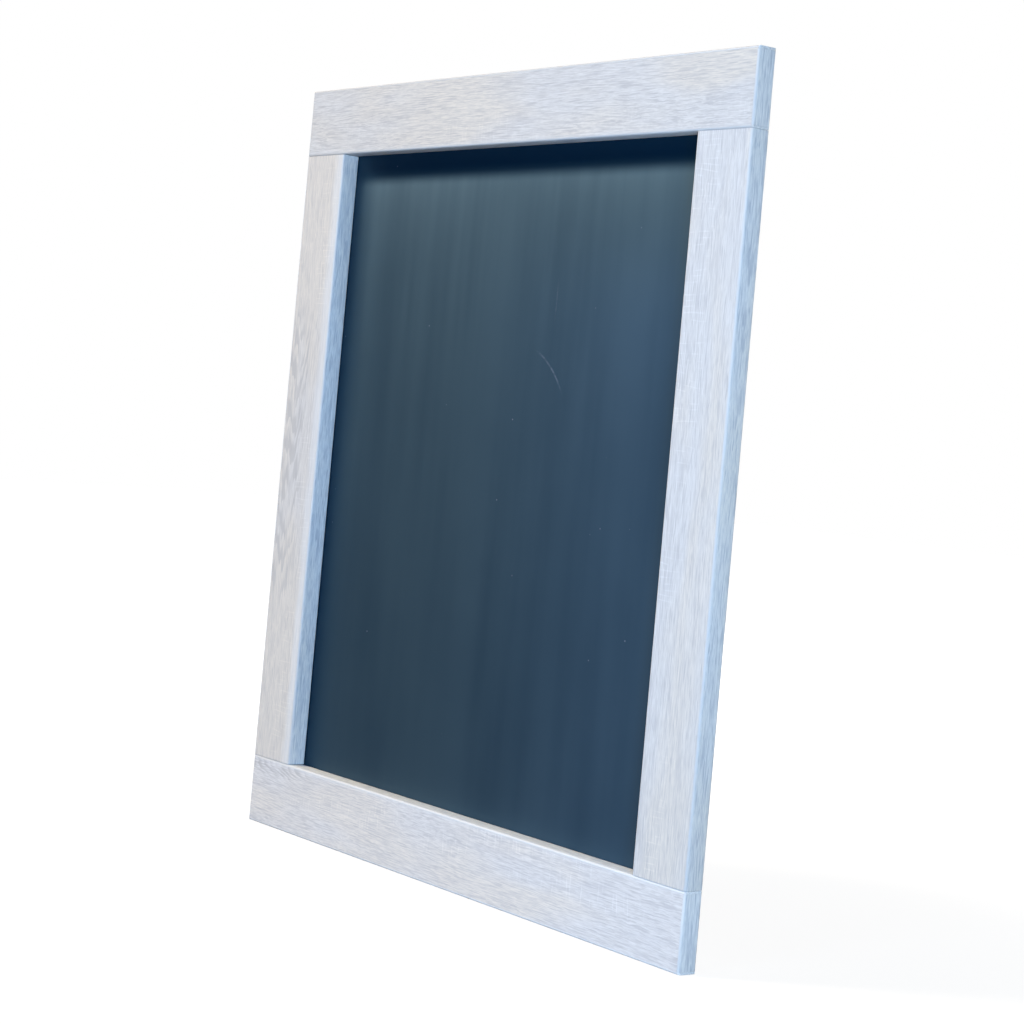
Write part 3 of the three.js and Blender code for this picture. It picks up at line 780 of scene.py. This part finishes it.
for member, (decor, _) in MEMBER_FINISHES.items():
    set_finish(NODES[f"{member}_board"], decor)
set_finish(NODES["writing_panel"], PANEL_FINISH)
dowels = [node for name, node in NODES.items() if "_dowel_" in name]
for dowel in dowels:
    set_finish(dowel, BEECH)
print(f"finished {len(MEMBER_FINISHES)} boards, the panel and {len(dowels)} dowels")

# %% [markdown]
# ## Helpers for meshes
# The rounded pieces are made again with more steps round their curves than the solid model needs. They
# are built up in a bmesh, which is a mesh that can still be edited, and then kept as plain mesh objects
# with smooth faces. Sharp edges stay sharp by angle.

# %% Mesh helpers
SHARP_ANGLE = math.radians(35)


def keep_mesh(name, builder, material):
    """Turns a bmesh into an object with smooth shading and its finish."""
    mesh = bpy.data.meshes.new(name)
    bmesh.ops.recalc_face_normals(builder, faces=builder.faces)
    builder.to_mesh(mesh)
    builder.free()
    mesh.materials.append(material)
    mesh.shade_smooth()
    mesh.set_sharp_from_angle(angle=SHARP_ANGLE)
    return put_in_scene(name, mesh)


def stand_for(obj, node, body="frame"):
    """The finer piece takes the place of its solid, on the same body."""
    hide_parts(node)
    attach(obj, body)


def block(size, middle):
    """A box as a bmesh."""
    builder = bmesh.new()
    bmesh.ops.create_cube(builder, size=1.0)
    bmesh.ops.scale(builder, vec=size, verts=builder.verts)
    bmesh.ops.translate(builder, vec=middle, verts=builder.verts)
    return builder


def arc(centre_x, centre_y, radius, start, end, steps):
    """Points on an arc, from one angle to another in degrees."""
    angles = [math.radians(start + (end - start) * i / steps) for i in range(steps + 1)]
    return [(centre_x + radius * math.cos(a), centre_y + radius * math.sin(a)) for a in angles]


def band(builder, low, high):
    """Faces between two rings of vertices. A ring of one vertex is a tip."""
    sides = max(len(low), len(high))
    for k in range(sides):
        n = (k + 1) % sides
        if len(low) == 1:
            builder.faces.new((low[0], high[n], high[k]))
        elif len(high) == 1:
            builder.faces.new((low[k], low[n], high[0]))
        else:
            builder.faces.new((low[k], low[n], high[n], high[k]))


def lathe(profile, sides):
    """Turns (radius, height) points about the Z axis into a closed bmesh. The ends lie on the axis."""
    builder = bmesh.new()
    rings = []
    for radius, height in profile:
        circle = arc(0, 0, radius, 0, 360, sides)[:-1] if radius else [(0, 0)]
        rings.append([builder.verts.new((x, y, height)) for x, y in circle])
    for low, high in zip(rings, rings[1:]):
        band(builder, low, high)
    return builder


def apply_modifiers(obj):
    """Makes what the modifiers give the object's own mesh."""
    bpy.context.view_layer.update()
    depsgraph = bpy.context.evaluated_depsgraph_get()
    mesh = bpy.data.meshes.new_from_object(obj.evaluated_get(depsgraph))
    obj.modifiers.clear()
    obj.data = mesh
    return mesh


def cut_with(obj, cutters):
    """Subtracts each cutter from obj for good, and removes the cutters."""
    for cutter in cutters:
        modifier = obj.modifiers.new("cut", "BOOLEAN")
        modifier.object = cutter
        modifier.operation = "DIFFERENCE"
        modifier.solver = "EXACT"
    apply_modifiers(obj).set_sharp_from_angle(angle=SHARP_ANGLE)
    for cutter in cutters:
        bpy.data.objects.remove(cutter)


print("mesh helpers ready")

# %% [markdown]
# ## Edging strips
# An edging strip is 2 mm of plastic glued to the board's narrow face and then rounded over with a cutter.
# A box with bevelled edges is the direct way to make it: the long outer edges take the cutter's radius,
# and so do the upright edges at a rail's ends, where the long strips cover the short ones. Every other
# edge gets a hair of rounding, because nothing real is perfectly sharp, and that hair is what catches the
# light along a seam.

# %% Make the edging strips
CUTTER_RADIUS = 1.9 * MM
CUTTER_STEPS = 7
HAIR = 0.12 * MM
HAIR_STEPS = 2
SQUARE_ENOUGH = math.radians(60)
RIGHT, UP = Vector((1, 0, 0)), Vector((0, 0, 1))
OUTWARD = {"top_rail": UP, "bottom_rail": -UP, "left_stile": -RIGHT, "right_stile": RIGHT}


def edging_rows():
    """Each strip's node, its outward direction, its finish, and whether it caps a rail's ends."""
    rows = []
    for member, outward in OUTWARD.items():
        rail = member in END_FINISHES
        edging = MEMBER_FINISHES[member][1]
        rows.append((f"{member}_outer_edging", outward, edging, rail))
        rows.append((f"{member}_inner_edging", -outward, edging, rail))
        if rail:
            rows.append((f"{member}_left_end_edging", -RIGHT, END_FINISHES[member], False))
            rows.append((f"{member}_right_end_edging", RIGHT, END_FINISHES[member], False))
    return rows


def is_rounded(edge, middle, outward, caps_ends):
    start, end = (vert.co for vert in edge.verts)
    direction = (end - start).normalized()
    along_depth = abs(direction.y) > 0.9
    along_outward = abs(direction.dot(outward)) > 0.9
    outer = ((start + end) / 2 - middle).dot(outward) > 0
    return (outer and not along_depth and not along_outward) or (caps_ends and along_outward)


def bevel(builder, edges, width, steps):
    bmesh.ops.bevel(builder, geom=edges, offset=width, segments=steps, profile=0.5, affect="EDGES")


def edging_strip(node, outward, material, caps_ends):
    low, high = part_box(node)
    middle = (low + high) / 2
    builder = block(high - low, middle)
    cut = [edge for edge in builder.edges if is_rounded(edge, middle, outward, caps_ends)]
    bevel(builder, cut, CUTTER_RADIUS, CUTTER_STEPS)
    sharp = [edge for edge in builder.edges if edge.calc_face_angle(0) > SQUARE_ENOUGH]
    bevel(builder, sharp, HAIR, HAIR_STEPS)
    stand_for(keep_mesh(f"{node}_rounded", builder, material), node)


for row in edging_rows():
    edging_strip(*row)
print(f"{len(edging_rows())} edging strips")

# %% [markdown]
# ## Screws
# A pan-head screw is a lathe job: the thread's crests and roots are turned as rings, and the head as a
# low dome. The cross in the head is cut with two thin tapering blocks, as a punch makes it.

# %% Make the screws
SCREW_RADIUS = 1.5 * MM
ROOT_RADIUS = 1.15 * MM
THREAD_PITCH = 1.2 * MM
TIP_LENGTH = 3 * MM
TIP_RADIUS = 0.345 * MM
TIP_BEVEL = 0.4 * MM
HEAD_RADIUS = 3.3 * MM
HEAD_HEIGHT = 2.0 * MM
HEAD_EDGE = 0.3 * MM
HEAD_FLAT = 0.55
RECESS_SPAN = 3.8 * MM
RECESS_WIDTH = 0.9 * MM
RECESS_DEPTH = 1.2 * MM
RECESS_TAPER = (0.45, 0.7)
TURN_SIDES = 36
TWIST_BETWEEN_SCREWS = 37


def screw_profile(length):
    points = [(0, -length), (TIP_RADIUS, -length + TIP_BEVEL)]
    height = -length + THREAD_PITCH
    while height < -THREAD_PITCH:
        grown = min(1.0, (height + length) / TIP_LENGTH)
        points.append((ROOT_RADIUS * grown, height))
        points.append((SCREW_RADIUS * grown, height + THREAD_PITCH / 2))
        height += THREAD_PITCH
    points += [(ROOT_RADIUS, height), (ROOT_RADIUS, 0)]
    points += arc(HEAD_RADIUS - HEAD_EDGE, HEAD_EDGE, HEAD_EDGE, -90, 0, 3)
    rim, dome = 0.45 * HEAD_HEIGHT, 0.55 * HEAD_HEIGHT
    flat, curved = HEAD_FLAT * HEAD_RADIUS, (1 - HEAD_FLAT) * HEAD_RADIUS
    points += [(flat + curved * x, rim + dome * y) for x, y in arc(0, 0, 1, 15, 90, 5)]
    return points + [(0, HEAD_HEIGHT)]


def tapered_block(span, width, depth):
    """A block that narrows downwards from z = 0, reaching a little above it."""
    builder = block((span, width, 1), (0, 0, 0))
    for vert in builder.verts:
        if vert.co.z < 0:
            vert.co = (vert.co.x * RECESS_TAPER[0], vert.co.y * RECESS_TAPER[1], -depth)
        else:
            vert.co.z = 0.3 * depth
    return builder


def make_screw_mesh(name, length):
    screw = keep_mesh(name, lathe(screw_profile(length), TURN_SIDES), ZINC)
    blades = []
    for turn in (0, math.pi / 2):
        blade = keep_mesh(f"{name}_blade", tapered_block(RECESS_SPAN, RECESS_WIDTH, RECESS_DEPTH), ZINC)
        blade.matrix_world = Matrix.Translation((0, 0, HEAD_HEIGHT)) @ Matrix.Rotation(turn, 4, "Z")
        blades.append(blade)
    cut_with(screw, blades)
    mesh = screw.data
    bpy.data.objects.remove(screw)
    return mesh


Z_TO_WALL = Matrix.Rotation(-math.pi / 2, 4, "X")
screw_meshes = {}
screw_nodes = sorted(node for node in NODES if "_screw_" in node)
for number, node in enumerate(screw_nodes):
    low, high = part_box(node)
    kind = "panel_screw" if node.startswith("panel") else "hanger_screw"
    if kind not in screw_meshes:
        screw_meshes[kind] = make_screw_mesh(kind, high.y - low.y - HEAD_HEIGHT)
    screw = put_in_scene(f"{node}_turned", screw_meshes[kind].copy())
    twist = Matrix.Rotation(math.radians(number * TWIST_BETWEEN_SCREWS % 90), 4, "Z")
    middle = (low + high) / 2
    spot = Matrix.Translation((middle.x, high.y - HEAD_HEIGHT, middle.z))
    screw.data.transform(spot @ Z_TO_WALL @ twist)
    stand_for(screw, node)
print(f"{len(screw_nodes)} screws")

# %% [markdown]
# ## Ring hangers
# Each hanger is a strip of sheet, curled over at the top to hold a ring of bent wire. The strip's side
# view is an outline that can be extruded across its width, and then its end is rounded and its holes are
# drilled. The wire is a round section carried along the ring's centre line. Both use the same radii as
# the solids.

# %% Make the hanger straps
STRAP_THICKNESS = 1.2 * MM
CURL_INSIDE = 1.45 * MM
CURL_OUTSIDE = CURL_INSIDE + STRAP_THICKNESS
CURL_STEPS = 28
STRAP_BEVEL = 0.22 * MM
STRAP_BEVEL_FROM = math.radians(50)
HOLE_RADIUS = 1.9 * MM
HOLE_DROPS = (10.5 * MM, 29.5 * MM)
CUT_DEPTH = 7.2 * MM
BAR_SIDES = 48
SIDES = ("left", "right")
RING_AXES = {joint["child"]: Vector(joint["pos_m"]) for joint in frame["joints"]}


def strap_section(tongue):
    """The side view, as (y, z) round the ring's axis."""
    outside = arc(0, 0, CURL_OUTSIDE, 180, -90, CURL_STEPS)
    inside = arc(0, 0, CURL_INSIDE, -90, 180, CURL_STEPS)
    return [(-CURL_OUTSIDE, -tongue), *outside, *inside, (-CURL_INSIDE, -tongue)]


def strap_mesh(name, axis, half_width, tongue):
    builder = bmesh.new()
    edge = axis - Vector((half_width, 0, 0))
    verts = [builder.verts.new(edge + Vector((0, y, z))) for y, z in strap_section(tongue)]
    grown = bmesh.ops.extrude_face_region(builder, geom=[builder.faces.new(verts)])["geom"]
    new_verts = [item for item in grown if isinstance(item, bmesh.types.BMVert)]
    bmesh.ops.translate(builder, vec=(2 * half_width, 0, 0), verts=new_verts)
    return keep_mesh(name, builder, NICKEL)


def round_bar(name, radius, length, middle):
    """A bar along Y."""
    builder = bmesh.new()
    bmesh.ops.create_cone(
        builder, cap_ends=True, segments=BAR_SIDES, radius1=radius, radius2=radius, depth=length
    )
    place = Matrix.Translation(middle) @ Matrix.Rotation(math.pi / 2, 4, "X")
    bmesh.ops.transform(builder, matrix=place, verts=builder.verts)
    return keep_mesh(name, builder, NICKEL)


def tongue_end_cutter(name, axis, half_width, tongue):
    """What is left of a block outside the tongue's half-round end."""
    round_middle = axis + Vector((0, -CURL_OUTSIDE, half_width - tongue))
    size = (2.4 * half_width, CUT_DEPTH, 2 * half_width)
    outside = keep_mesh(name, block(size, round_middle - half_width * UP), NICKEL)
    cut_with(outside, [round_bar(f"{name}_core", half_width, 1.3 * CUT_DEPTH, round_middle)])
    return outside


def soften(obj):
    """Rounds the sharp edges by a small bevel, for good."""
    rounding = obj.modifiers.new("soften", "BEVEL")
    rounding.width = STRAP_BEVEL
    rounding.segments = HAIR_STEPS
    rounding.limit_method = "ANGLE"
    rounding.angle_limit = STRAP_BEVEL_FROM
    mesh = apply_modifiers(obj)
    mesh.shade_smooth()
    mesh.set_sharp_from_angle(angle=SHARP_ANGLE)


def make_strap(side):
    node = f"{side}_hanger_strap"
    low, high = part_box(node)
    axis = RING_AXES[f"{side}_ring"]
    half_width = (high.x - low.x) / 2
    tongue = axis.z - low.z
    strap = strap_mesh(f"{node}_pressed", axis, half_width, tongue)
    cutters = [tongue_end_cutter(f"{node}_end", axis, half_width, tongue)]
    for drop in HOLE_DROPS:
        middle = axis - Vector((0, CURL_OUTSIDE, drop))
        cutters.append(round_bar(f"{node}_drill", HOLE_RADIUS, CUT_DEPTH, middle))
    cut_with(strap, cutters)
    soften(strap)
    stand_for(strap, node)


for side in SIDES:
    make_strap(side)
print(f"{len(SIDES)} hanger straps")

# %% [markdown]
# The ring is a D of bent wire. Its straight side lies in the strap's curl and is the hinge, and at rest
# the ring leans on the stile's back. A curve with a round bevel would do, but a mesh swept by hand closes
# cleanly and keeps the same wire radius in every bend.

# %% Make the hanger rings
WIRE_RADIUS = 1.25 * MM
RING_HALF_WIDTH = 11.25 * MM
RING_ARM = 5 * MM
RING_CORNER = 2.5 * MM
WIRE_SIDES = 20
BEND_STEPS = 8
ARCH_STEPS = 48
BAR_STEPS = 6


def ring_centre_line():
    """The wire's centre as (x, z) round the bar's middle, without repeating the first point."""
    straight = RING_HALF_WIDTH - RING_CORNER
    steps = [straight * i / BAR_STEPS for i in range(BAR_STEPS)]
    return [
        *((x, 0) for x in steps),
        *arc(straight, RING_CORNER, RING_CORNER, -90, 0, BEND_STEPS),
        *arc(0, RING_ARM, RING_HALF_WIDTH, 0, 180, ARCH_STEPS),
        *arc(-straight, RING_CORNER, RING_CORNER, 180, 270, BEND_STEPS),
        *((x - straight, 0) for x in steps[1:]),
    ]


def swept_wire(centres):
    """Carries the wire's round section along a closed line in the XZ plane."""
    builder = bmesh.new()
    rings = []
    for i, (x, z) in enumerate(centres):
        before, following = centres[i - 1], centres[(i + 1) % len(centres)]
        along = Vector((following[0] - before[0], 0, following[1] - before[1])).normalized()
        across = Vector((along.z, 0, -along.x))
        circle = arc(0, 0, WIRE_RADIUS, 0, 360, WIRE_SIDES)[:-1]
        rings.append([builder.verts.new(Vector((x, b, z)) + across * a) for a, b in circle])
    for ring, following in zip(rings, rings[1:] + rings[:1]):
        band(builder, ring, following)
    return builder


def make_ring(side):
    node = f"{side}_hanger_ring"
    low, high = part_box(node)
    axis = RING_AXES[f"{side}_ring"]
    lean = math.asin((axis.y - (low.y + WIRE_RADIUS)) / (RING_ARM + RING_HALF_WIDTH))
    ring = keep_mesh(f"{node}_bent", swept_wire(ring_centre_line()), NICKEL)
    ring.data.transform(Matrix.Translation(axis) @ Matrix.Rotation(lean, 4, "X"))
    stand_for(ring, node, f"{side}_ring")
    return math.degrees(lean)


leans = [make_ring(side) for side in SIDES]
print(f"{len(leans)} hanger rings, leaning {leans[0]:.1f} degrees on the stiles")

# %% [markdown]
# ## Wall bumpers
# A moulded bumper tapers from its glued base to a flat face, with a soft rim between them. It is a lathe
# shape.

# %% Make the bumpers
BUMPER_SIDES = 48
BUMPER_FACE = 6 * MM
BUMPER_RIM = 1 * MM
BUMPER_FOOT = 0.2 * MM


def make_bumper(side):
    node = f"{side}_wall_bumper"
    low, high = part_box(node)
    base = (high.x - low.x) / 2
    height = high.y - low.y
    profile = [(0, 0), (base - BUMPER_FOOT, 0), (base, BUMPER_FOOT)]
    profile += arc(BUMPER_FACE, height - BUMPER_RIM, BUMPER_RIM, 15, 90, 6)
    profile += [(BUMPER_FACE / 2, height), (0, height)]
    bumper = keep_mesh(f"{node}_moulded", lathe(profile, BUMPER_SIDES), RUBBER)
    middle = (low + high) / 2
    bumper.data.transform(Matrix.Translation((middle.x, low.y, middle.z)) @ Z_TO_WALL)
    stand_for(bumper, node)


for side in SIDES:
    make_bumper(side)
print(f"{len(SIDES)} wall bumpers")

# %% [markdown]
# ## Studio
# The board stands on a plain floor. It is dull to the lamps, so that it throws little light up under the
# top rail, and pale to the camera and to clear surfaces. To shiny surfaces it is pale behind the board,
# where the metal is, and dark in front, because the coating mirrors no floor in the photograph. The room
# does the same.

# %% Floor and backdrop
FLOOR_Z = CAD_BOX[0][2]
FLOOR_SIZE = 14.0
FLOOR_DULL = (0.24, 0.24, 0.24, 1)
FLOOR_SEEN = 0.84
FLOOR_FADES = (0.7, 1.6)
FLOOR_GLOSS = 0.06
ROOM_GLOSS = 0.8
ROOM_LIGHT = (0.74, 0.86, 1.0, 1)
WHITE = (1, 1, 1, 1)


def rays_to_the_eye(tree):
    path = add(tree, "ShaderNodeLightPath")
    return calc("MAXIMUM", path["Is Camera Ray"], path["Is Transmission Ray"]), path["Is Glossy Ray"]


def make_floor():
    material = bpy.data.materials.new("studio_floor")
    material.use_nodes = True
    tree = material.node_tree
    tree.nodes.clear()
    direct, glossy = rays_to_the_eye(tree)
    place = coordinates(tree)
    seen = direct * spread(distance(place, ORIGIN), *FLOOR_FADES, FLOOR_SEEN, 1.0)
    dull = add(tree, "ShaderNodeBsdfDiffuse", {"Color": FLOOR_DULL})
    glow = add(tree, "ShaderNodeEmission", {"Strength": seen})
    lit = add(tree, "ShaderNodeAddShader", {0: dull[0], 1: glow[0]})
    reflected = spread(split(place)["Y"], 0.0, 0.3, FLOOR_GLOSS, ROOM_GLOSS)
    mirrored = add(tree, "ShaderNodeEmission", {"Strength": reflected})
    shown = add(tree, "ShaderNodeMixShader", {0: glossy, 1: lit[0], 2: mirrored[0]})
    add(tree, "ShaderNodeOutputMaterial", {"Surface": shown[0]})
    builder = bmesh.new()
    bmesh.ops.create_grid(builder, x_segments=1, y_segments=1, size=FLOOR_SIZE / 2)
    bmesh.ops.translate(builder, vec=(0, 0, FLOOR_Z), verts=builder.verts)
    floor = keep_mesh("studio_floor", builder, material)


def make_world():
    """White to the eye. To shiny surfaces it is pale overhead and behind the board, and dark in front."""
    world = bpy.data.worlds.new("studio")
    world.use_nodes = True
    bpy.context.scene.world = world
    tree = world.node_tree
    tree.nodes.clear()
    direct, glossy = rays_to_the_eye(tree)
    axes = split(coordinates(tree, "Generated"))
    overhead = spread(axes["Z"], 0.60, 0.90)
    behind = spread(axes["Y"], -0.05, 0.35)
    sky = spread(axes["Z"], 0.40, 0.75, 0.02, 0.20)
    mirrored = glossy * calc("MAXIMUM", overhead, behind) * ROOM_GLOSS
    room = add(tree, "ShaderNodeBackground", {"Color": ROOM_LIGHT, "Strength": sky})
    white = add(tree, "ShaderNodeBackground", {"Color": WHITE, "Strength": 1.0})
    shares = {0: calc("MAXIMUM", direct, mirrored), 1: room[0], 2: white[0]}
    add(tree, "ShaderNodeOutputWorld", {"Surface": add(tree, "ShaderNodeMixShader", shares)[0]})


make_floor()
make_world()
print(f"floor at z = {FLOOR_Z:.3f} m")

# %% [markdown]
# The main lamp is large and warm, in front of the board, above it and to the left. It lets the top rail
# and the left stile shade the panel. Cooler light comes from the right and from in front, at the board's
# height, and makes the right-hand sides bluish. A weak warm lamp straight to the right tempers that, and
# one behind the board lights its back at the same plain level.

# %% Lamps
MIDDLE = (Vector(CAD_BOX[0]) + Vector(CAD_BOX[1])) / 2
# Each has its place from the middle of the board, its size in metres, its watts and its colour.
LAMPS = {
    "key_lamp": ((-2.28, -3.08, 3.94), 1.57, 285, (1.0, 0.85, 0.66)),
    "window_lamp": ((2.55, -1.50, 0.04), 0.75, 48, (0.36, 0.67, 1.0)),
    "side_lamp": ((2.97, -0.12, 0.05), 0.9, 24, (1.0, 0.91, 0.72)),
    "front_lamp": ((0.90, -2.85, 0.00), 0.65, 38, (0.63, 0.76, 1.0)),
    "back_lamp": ((-1.1, 2.6, 0.9), 1.2, 68, (1.0, 0.98, 0.95)),
}

for name, (offset, size, watts, colour) in LAMPS.items():
    data = bpy.data.lights.new(name, "AREA")
    data.shape = "SQUARE"
    data.size = size
    data.energy = watts
    data.color = colour
    lamp = put_in_scene(name, data)
    lamp.location = MIDDLE + Vector(offset)
    lamp.rotation_euler = (MIDDLE - lamp.location).to_track_quat("-Z", "Y").to_euler()
    lamp.visible_camera = False
bpy.context.scene.view_settings.view_transform = "Standard"
print(f"{len(LAMPS)} lamps")
